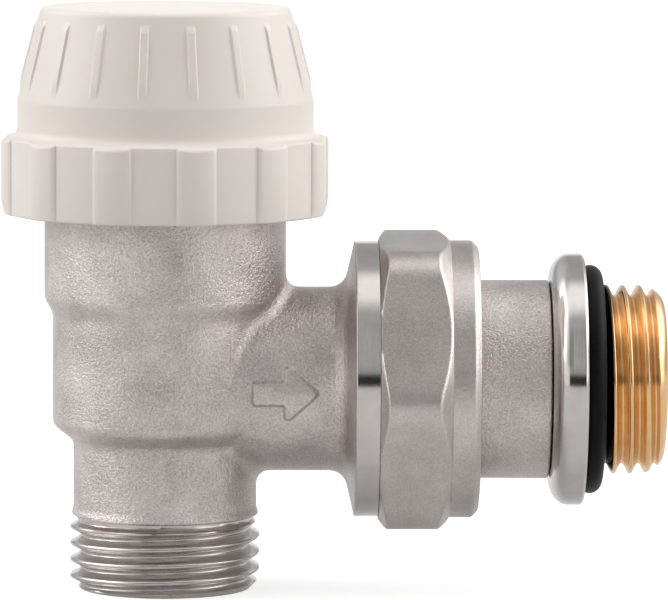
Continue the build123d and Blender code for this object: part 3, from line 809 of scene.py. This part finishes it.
def seal_ring():
    """Turned flange that backs the radiator seal."""
    start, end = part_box("seal_flange")[0].x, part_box("seal_flange")[1].x
    turns = np.linspace(0, math.pi / 2, SEAL_ROUND_STEPS)
    back_r = SEAL_FLANGE_R - SEAL_ROUND_DEPTH * (1 - np.sin(turns))
    back_x = start + SEAL_ROUND_LENGTH * (1 - np.cos(turns))
    return turned_mesh("seal_ring", [
        (SOCKET_R, start),
        *zip(back_r, back_x),
        (SEAL_FLANGE_R, end - SEAL_FLANGE_EDGE, SEAL_RIM_ROUND),
        (SEAL_FLANGE_R - SEAL_FLANGE_EDGE, end, SEAL_FACE_ROUND),
        (SEAL_RECESS_R, end, SEAL_LIP_ROUND),
        (SEAL_RECESS_R, end - SEAL_RECESS),
        (SOCKET_R, end - SEAL_RECESS),
    ], ALONG_OUTLET)


def o_ring():
    """Round rubber ring in front of the seal flange."""
    low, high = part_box("radiator_seal")
    centre_x = (low.x + high.x) / 2
    centre_r = (high.z - low.z) / 2 - SEAL_SECTION_R
    turns = even_angles(SEAL_SECTION_STEPS)
    radii = centre_r + SEAL_SECTION_R * np.cos(turns)
    places = centre_x + SEAL_SECTION_R * np.sin(turns)
    return polar_mesh("seal_o_ring", even_angles(), list(zip(radii, places)), ALONG_OUTLET)


def nipple():
    """Brass nipple with the radiator thread and a hexagon socket for its key."""
    start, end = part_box("radiator_nipple")[0].x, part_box("radiator_nipple")[1].x
    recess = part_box("seal_flange")[1].x - SEAL_RECESS + NIPPLE_PLAY
    thread_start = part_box("radiator_seal")[1].x + NIPPLE_PLAY
    angles = np.concatenate([even_angles(), HEX_TURN / 2 + even_angles(HEX_SIDES)])
    angles = full_turn(np.unique(angles))
    key = NIPPLE_KEY_R / np.cos(angles % HEX_TURN - HEX_TURN / 2)
    key_end = end - NIPPLE_BORE_LENGTH
    slope_start, slope_end = (thread_start - before for before in NIPPLE_UNDERCUT)
    rows = [
        (key, start),
        (NIPPLE_SHANK_R, start),
        (NIPPLE_SHANK_R, recess),
        (NIPPLE_NECK_R, recess),
        (NIPPLE_NECK_R, slope_start),
        (NIPPLE_UNDERCUT_R, slope_end),
        (NIPPLE_UNDERCUT_R, thread_start),
    ]
    for thread, height in thread_rows(angles, thread_start + NIPPLE_PLAY, end, PIPE_R, NIPPLE_PHASE):
        from_nose = np.maximum(0.0, 1 - (end - height) / NIPPLE_NOSE)
        nose = NIPPLE_END_R + (PIPE_R - NIPPLE_END_R) * np.sqrt(1 - from_nose ** 2)
        rows.append((smooth_min(thread, nose, THREAD_SOFT), height))
    rows += [
        (NIPPLE_BORE_R + NIPPLE_EDGE, end),
        (NIPPLE_BORE_R, end - NIPPLE_EDGE),
        (NIPPLE_BORE_R, key_end),
        (key, key_end),
    ]
    return polar_mesh("nipple_thread", angles, rows, ALONG_OUTLET, seam=True)


# Hand cap

CAP_FACING = math.radians(-78.5)
LOBES = 12
LOBE_HALF = math.radians(7.1)
LOBE_EDGE = math.radians(1.7)   # width of a lobe's round shoulder
LOBE_CROWN = 0.55               # how much a lobe falls off towards its edges, as a share of its rise
RIBS = 18
RIB_HALF_TOP = math.radians(2.2)
RIB_HALF_FOOT = math.radians(1.9)
RIB_RISE = 0.25 * MM
RIB_FLANK = 2.8                 # steepness of a rib's sides
RIB_TOP_BELOW = 1.20 * MM       # below the cap's top
RIB_LENGTH = 8.4 * MM
RIB_END = 1.0 * MM              # the rib's sloping upper end
RIB_FADE = 2.2 * MM             # and its longer lower one
CROWN_R = 13.7 * MM
CROWN_ROUND = 0.7 * MM
BAND_R = 16.3 * MM
RING_R = 17.65 * MM
LOBE_R = 18.25 * MM
LOBE_DROP = 0.14 * MM           # a lobe's top lies below the ring's
LOBE_LEAN = 0.3 * MM            # a lobe's foot leans in
LOBE_LEAN_HEIGHT = 1.5 * MM
RING_ROUND = 0.25 * MM
LOBE_ROUND = 0.5 * MM
RING_HEIGHT = 8.45 * MM
BAND_HEIGHT = 4.0 * MM
KNEE_ROUND = 1.2 * MM           # between cone and band
RING_FLARE = 1.0 * MM           # between band and ring
RING_ROUND_STEPS = 6
SKIRT_R = 15.2 * MM
SKIRT_DEPTH = 3.0 * MM
SKIRT_EDGE = 0.2 * MM
SKIRT_STEP = 0.5 * MM           # height of the slope from the skirt to the thread
CAP_THREAD_R = 14.05 * MM
CAP_THREAD_BELOW = 0.4 * MM     # the thread ends this far below the headwork's top
CAP_TOP_WALL = 2.2 * MM
CAP_SIDE_WALL = 2.0 * MM
BOSS_R = 3.0 * MM
# Rows of the cone: close together at both ends of the ribs, further apart between
CONE_CLOSE, CONE_APART = 0.1 * MM, 0.45 * MM
CONE_TOP_ROWS, CONE_TOP_GAP = 1.6 * MM, 0.3 * MM
CONE_FOOT_ROWS, CONE_FOOT_GAP = 1.0 * MM, 0.2 * MM
# Angles of the mesh in degrees, from the middle of a rib and of a lobe
RIB_ANGLES = [0, 0.45, 0.8, 1.1, 1.4, 1.7, 2.0, 2.3, 2.8]
LOBE_ANGLES = [1.2, 2.5, 3.6, 4.5, 5.1, 5.5, 5.9, 6.3, 6.6, 6.8, 6.95, 7.05, 7.1]
LOBE_ANGLES += [7.4, 9.0, 11.0, 13.0, 15.0]  # the recess beside the lobe
CAP_ANGLE_DIGITS = 5
cap_low, cap_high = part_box("hand_cap")
cap_bottom, cap_top = cap_low.z, cap_high.z
ring_top = cap_bottom + RING_HEIGHT
band_top = ring_top + BAND_HEIGHT


def repeated(degrees, count):
    """Angles to both sides of the middles of a number of evenly spaced features."""
    one = np.radians(degrees)
    both = np.concatenate([one, -one])
    return np.concatenate([both + turn for turn in even_angles(count)])


def cap_angles():
    """Angles round the cap, closer together at the ribs and at the edges of the lobes."""
    whole = np.concatenate([repeated(RIB_ANGLES, RIBS), repeated(LOBE_ANGLES, LOBES)])
    return sorted_angles(whole + CAP_FACING, CAP_ANGLE_DIGITS)


def from_nearest(angles, count):
    """Distance of each angle from the nearest of a number of evenly spaced features."""
    step = 2 * math.pi / count
    return np.abs((angles - CAP_FACING + step / 2) % step - step / 2)


def cone_r(height):
    """Radius of the cap's cone at a height."""
    return BAND_R + (CROWN_R - BAND_R) * (height - band_top) / (cap_top - band_top)


def rib_height(distance, height):
    """How far a rib stands out, at angles from its middle and at a height."""
    top = cap_top - RIB_TOP_BELOW
    share = (height - (top - RIB_LENGTH)) / RIB_LENGTH
    if not 0 < share < 1:
        return np.zeros_like(distance)
    half = RIB_HALF_FOOT + (RIB_HALF_TOP - RIB_HALF_FOOT) * share
    ends = smooth_step((1 - share) * RIB_LENGTH / RIB_END) * smooth_step(share * RIB_LENGTH / RIB_FADE)
    return RIB_RISE * ends * smooth_step(RIB_FLANK * (1 - distance / half))


def ring_edge(radius, drop, lean, rounding):
    """Outer edge of the grip ring from its top to its bottom, as (radius, height)."""
    turns = np.linspace(0, math.pi / 2, RING_ROUND_STEPS)
    rise, fall = 1 - np.sin(turns), 1 - np.cos(turns)
    upper = zip(radius - rounding * rise, ring_top - drop - rounding * fall)
    lower = zip(radius - lean - RING_ROUND * fall, cap_bottom + RING_ROUND * rise)
    return [*upper, (radius, cap_bottom + LOBE_LEAN_HEIGHT), *lower]


def cone_heights(top):
    """Heights of the cone's rows, from below the crown to the foot of the ribs."""
    foot = cap_top - RIB_TOP_BELOW - RIB_LENGTH
    below = top - CONE_TOP_ROWS
    above = foot + CONE_FOOT_ROWS
    return np.concatenate([
        span(top, below, -CONE_CLOSE),
        span(below - CONE_TOP_GAP, above + CONE_FOOT_GAP, -CONE_APART),
        span(above, foot - CONE_CLOSE, -CONE_CLOSE),
    ])


def lobe_shape(angles):
    """How far a lobe stands out over the ring, from 0 to 1."""
    away = from_nearest(angles, LOBES)
    shoulder = np.clip((LOBE_HALF - away) / LOBE_EDGE, 0, 1)
    return np.sqrt(1 - (1 - shoulder) ** 2) * (1 - LOBE_CROWN * np.clip(away / LOBE_HALF, 0, 1) ** 2)


def cap_shell():
    """Moulded cap: lobed grip ring, band, ribbed cone, crown and the hollow inside."""
    angles = cap_angles()
    lobe = lobe_shape(angles)
    rib_at = from_nearest(angles, RIBS)
    crown = corner_points((0, cap_top), (CROWN_R, cap_top), (BAND_R, band_top), CROWN_ROUND)
    rows = [(0.0, cap_top), (crown[0][0] - SUPPORT, cap_top), *crown]
    for height in cone_heights(crown[-1][1] - SUPPORT):
        rows.append((cone_r(height) + rib_height(rib_at, height), height))
    rows += corner_points((CROWN_R, cap_top), (BAND_R, band_top), (BAND_R, ring_top), KNEE_ROUND)
    rows += corner_points((BAND_R, band_top), (BAND_R, ring_top), (RING_R, ring_top), RING_FLARE)
    recess = ring_edge(RING_R, 0.0, 0.0, RING_ROUND)
    raised = ring_edge(LOBE_R, LOBE_DROP, LOBE_LEAN, LOBE_ROUND)
    for (r0, h0), (r1, h1) in zip(recess, raised):
        rows.append((r0 + (r1 - r0) * lobe, h0 + (h1 - h0) * lobe))
    rows += cap_inside()
    return polar_mesh("cap_shell", angles, rows, closed=False)


def cap_inside():
    """Rows of the cap's hollow, from the skirt's edge up to the boss."""
    skirt_top = cap_bottom + SKIRT_DEPTH
    thread_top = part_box("insert_body")[1].z - CAP_THREAD_BELOW
    ceiling = cap_top - CAP_TOP_WALL
    boss_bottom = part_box("actuating_pin")[1].z
    return [
        (SKIRT_R + SKIRT_EDGE, cap_bottom),
        (SKIRT_R, cap_bottom + SKIRT_EDGE),
        (SKIRT_R, skirt_top),
        (CAP_THREAD_R, skirt_top + SKIRT_STEP),
        (CAP_THREAD_R, thread_top),
        (cone_r(ceiling) - CAP_SIDE_WALL, ceiling),
        (BOSS_R, ceiling),
        (BOSS_R, boss_bottom),
        (0.0, boss_bottom),
    ]


# Return spring

SPRING_MEAN_R = 3.8 * MM
SPRING_WIRE_R = 0.45 * MM
SPRING_TURNS = 4
SPRING_STEPS = 48               # along one turn
SPRING_SIDES = 12               # round the wire


def coil_spring():
    """Spring of round wire between the headwork's floor and the plate on the stem."""
    low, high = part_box("return_spring")
    first = low.z + SPRING_WIRE_R
    rise = high.z - low.z - 2 * SPRING_WIRE_R
    steps = SPRING_TURNS * SPRING_STEPS
    verts = []
    for i in range(steps + 1):
        turn = 2 * math.pi * i / SPRING_STEPS
        for side in even_angles(SPRING_SIDES):
            radius = SPRING_MEAN_R + SPRING_WIRE_R * math.cos(side)
            height = first + rise * i / steps + SPRING_WIRE_R * math.sin(side)
            verts.append((radius * math.cos(turn), radius * math.sin(turn), height))
    faces = []
    for i in range(steps):
        here, there = i * SPRING_SIDES, (i + 1) * SPRING_SIDES
        for j in range(SPRING_SIDES):
            k = (j + 1) % SPRING_SIDES
            faces.append((here + j, here + k, there + k, there + j))
    faces += [tuple(range(SPRING_SIDES)), tuple(range(steps * SPRING_SIDES, len(verts)))]
    mesh = bpy.data.meshes.new("coil_spring")
    mesh.from_pydata(verts, [], faces)
    clean(mesh)
    return mesh


def make_spring():
    """The spring, with its own copy of the mesh."""
    spring = add_piece(coil_spring(), "valve", [steel_z], ["return_spring"])
    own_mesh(spring)


# Pieces

make_body()
make_spring()
add_piece(flow_arrow(), "valve", [forged])
add_piece(union_nut(), "nut", [satin], ["union_nut"])
add_piece(tail_tube(), "tail", [forged], ["tail_sleeve"])
add_piece(seal_ring(), "tail", [nickel_x], ["seal_flange"])
add_piece(o_ring(), "tail", [seal_black], ["radiator_seal"])
add_piece(nipple(), "tail", [brass_x], ["radiator_nipple"])
add_piece(cap_shell(), "cap", [cap_white], ["hand_cap"])

INNER_FINISH = {
    brass_z: ["insert_body", "gland_nut", "shutter_stem", "spring_plate", "shutter_plate", "seal_washer"],
    seal_black: ["insert_oring", "gland_oring", "shutter_seal"],
    guide_white: ["pin_guide"],
    steel_z: ["actuating_pin", "stem_clip"],
}
for material, nodes in INNER_FINISH.items():
    for node in nodes:
        inner = frame["nodes"][node].data
        inner.materials.clear()
        inner.materials.append(material)


# Camera

IMAGE_WIDTH = 668
AIM = Vector((18.6, 0.0, 31.9)) * MM
DISTANCE = 680 * MM
AZIMUTH = math.radians(-1.0)
ELEVATION = math.radians(5.8)
ROLL = math.radians(0.25)
PIXELS_PER_MM = 9.07            # at the aim
SENSOR = 36.0
CLIP_START, CLIP_END = 0.01, 100


def make_camera():
    """The photograph's view."""
    data = bpy.data.cameras.new("camera")
    data.sensor_fit = "HORIZONTAL"
    data.sensor_width = SENSOR
    data.lens = SENSOR * PIXELS_PER_MM * (DISTANCE / MM) / IMAGE_WIDTH
    data.clip_start, data.clip_end = CLIP_START, CLIP_END
    camera = bpy.data.objects.new("camera", data)
    bpy.context.scene.collection.objects.link(camera)
    back = Vector((
        math.sin(AZIMUTH) * math.cos(ELEVATION),
        -math.cos(AZIMUTH) * math.cos(ELEVATION),
        math.sin(ELEVATION),
    ))
    camera.location = AIM + back * DISTANCE
    turn = (-back).to_track_quat("-Z", "Y").to_matrix().to_4x4() @ Matrix.Rotation(ROLL, 4, "Z")
    camera.rotation_mode = "QUATERNION"
    camera.rotation_quaternion = turn.to_quaternion()
    bpy.context.scene.camera = camera


# Light

FLOOR_HALF = 3.0
FLOOR_GREY = 0.48
FLOOR_ROUGHNESS = 0.9
FLOOR_GLOW = 0.72               # lifts the lit floor to white for the camera
FLOOR_GLOSS_GLOW = 0.24         # the same for reflections, which also see the floor's own shade
WHITE = (1, 1, 1)
# Brightness of the studio overhead, against the angle up from the front and down behind, in degrees
OVERHEAD = [(-180, 0.8), (-90, 0.5), (45, 0.5), (64, 0.6), (78, 1.38), (98, 1.38), (111, 0.6), (180, 0.4)]
# Brightness of the studio round the horizon, against the angle to the right of the front, in degrees
HORIZON = [
    (-180, 0.42), (-150, 0.5), (-128, 0.55), (-110, 0.85), (-92, 0.95), (-66, 1.15), (-48, 1.1),
    (-34, 0.85), (-20, 0.45), (0, 0.48), (24, 0.36), (38, 0.8), (52, 1.6), (68, 1.95),
    (92, 1.95), (100, 0.65), (122, 0.42), (140, 0.55), (180, 0.42),
]
# The same higher up, where it lights the sides of the cap
SIDES = [
    (-180, 0.45), (-140, 0.8), (-125, 2.4), (-110, 3.3), (-78, 3.3), (-62, 1.4), (-45, 0.6),
    (-24, 0.3), (-12, 0.38), (-7, 0.58), (7, 0.58), (12, 0.34), (26, 0.32), (45, 0.6),
    (62, 1.5), (78, 3.0), (118, 3.0), (132, 2.0), (150, 0.7), (180, 0.45),
]
SIDES_FOOT = (0.16, 0.32)       # height part of a direction where this takes over from the horizon
SIDES_TOP = (0.64, 0.9)         # and where the light overhead takes over from it
# Share of light in the dark slot low in front, against the height part of a direction
SLOT = [(0.0, 0.03), (0.14, 0.03), (0.19, 1.0)]
SLOT_HALF_WIDTH = 0.6           # sideways part of a direction where the slot ends
SLOT_FADE = 0.1
BACKDROP_EDGE = (0.94, 0.985)   # backward part of a direction where mirrors show the white backdrop


def math_node(tree, operation, *values):
    """A math node of its values, each a socket or a number."""
    node = tree.nodes.new("ShaderNodeMath")
    node.operation = operation
    for socket, value in zip(node.inputs, values):
        if isinstance(value, (int, float)):
            socket.default_value = value
        else:
            tree.links.new(value, socket)
    return node.outputs["Value"]


def grey_ramp(tree, factor, stops):
    """A ramp of (position, grey) stops."""
    return ramp(tree, factor, [(position, (grey, grey, grey)) for position, grey in stops])


def turn_share(tree, rise, run):
    """The angle of a slope as a share of a full turn, 0.5 where it is flat."""
    angle = math_node(tree, "ARCTAN2", rise, run)
    return math_node(tree, "MULTIPLY_ADD", angle, 1 / (2 * math.pi), 0.5)


def degree_ramp(tree, rise, run, stops):
    """A ramp of (angle in degrees, grey) stops, against the angle of a slope."""
    shares = [(0.5 + angle / 360, grey) for angle, grey in stops]
    return grey_ramp(tree, turn_share(tree, rise, run), shares)


def mirror_ray(tree, path):
    """1 for a ray that a mirror or a glass sent out."""
    return math_node(tree, "MAXIMUM", path.outputs["Is Glossy Ray"], path.outputs["Is Transmission Ray"])


def make_floor():
    """Pale floor that keeps the shadow and looks white to the camera."""
    mesh = bpy.data.meshes.new("floor")
    corners = [(x * FLOOR_HALF, y * FLOOR_HALF, 0) for x, y in ((-1, -1), (1, -1), (1, 1), (-1, 1))]
    mesh.from_pydata(corners, [], [(0, 1, 2, 3)])
    floor = bpy.data.objects.new("floor", mesh)
    bpy.context.scene.collection.objects.link(floor)
    material, tree, shader = new_material("floor_white")
    shader.inputs["Base Color"].default_value = (FLOOR_GREY, FLOOR_GREY, FLOOR_GREY, 1)
    shader.inputs["Roughness"].default_value = FLOOR_ROUGHNESS
    shader.inputs["Specular IOR Level"].default_value = 0.0
    path = tree.nodes.new("ShaderNodeLightPath")
    camera = math_node(tree, "MULTIPLY", path.outputs["Is Camera Ray"], FLOOR_GLOW)
    gloss = math_node(tree, "MULTIPLY", mirror_ray(tree, path), FLOOR_GLOSS_GLOW)
    shader.inputs["Emission Color"].default_value = (*WHITE, 1)
    tree.links.new(math_node(tree, "MAXIMUM", camera, gloss), shader.inputs["Emission Strength"])
    mesh.materials.append(material)


def make_world():
    """Soft studio: a bright strip above, bright sides, a dim front and a white backdrop."""
    world = bpy.data.worlds.new("studio")
    bpy.context.scene.world = world
    world.use_nodes = True
    tree = world.node_tree
    background = tree.nodes["Background"]
    parts = tree.nodes.new("ShaderNodeSeparateXYZ")
    tree.links.new(tree.nodes.new("ShaderNodeTexCoord").outputs["Generated"], parts.inputs["Vector"])
    x, y, z = parts.outputs["X"], parts.outputs["Y"], parts.outputs["Z"]
    front = math_node(tree, "MULTIPLY", y, -1.0)
    overhead = degree_ramp(tree, z, front, OVERHEAD)
    horizon = degree_ramp(tree, x, front, HORIZON)
    sides = degree_ramp(tree, x, front, SIDES)
    slot = grey_ramp(tree, z, SLOT)
    sideways = math_node(tree, "ABSOLUTE", x)
    beside = soft_step(tree, sideways, SLOT_HALF_WIDTH - SLOT_FADE, SLOT_HALF_WIDTH)
    behind = soft_step(tree, front, SLOT_FADE, 0.0)
    no_slot = math_node(tree, "MAXIMUM", beside, behind)
    low = mix_colour(tree, no_slot, math_node(tree, "MULTIPLY", horizon, slot), horizon)
    rings = mix_colour(tree, soft_step(tree, z, *SIDES_FOOT), low, sides)
    light = mix_colour(tree, soft_step(tree, z, *SIDES_TOP), rings, overhead)
    path = tree.nodes.new("ShaderNodeLightPath")
    backdrop = math_node(tree, "MULTIPLY", mirror_ray(tree, path), soft_step(tree, y, *BACKDROP_EDGE))
    white = math_node(tree, "MAXIMUM", path.outputs["Is Camera Ray"], backdrop)
    tree.links.new(mix_colour(tree, white, light, WHITE), background.inputs["Color"])


make_camera()
make_floor()
make_world()

bpy.context.scene.view_settings.view_transform = "Standard"
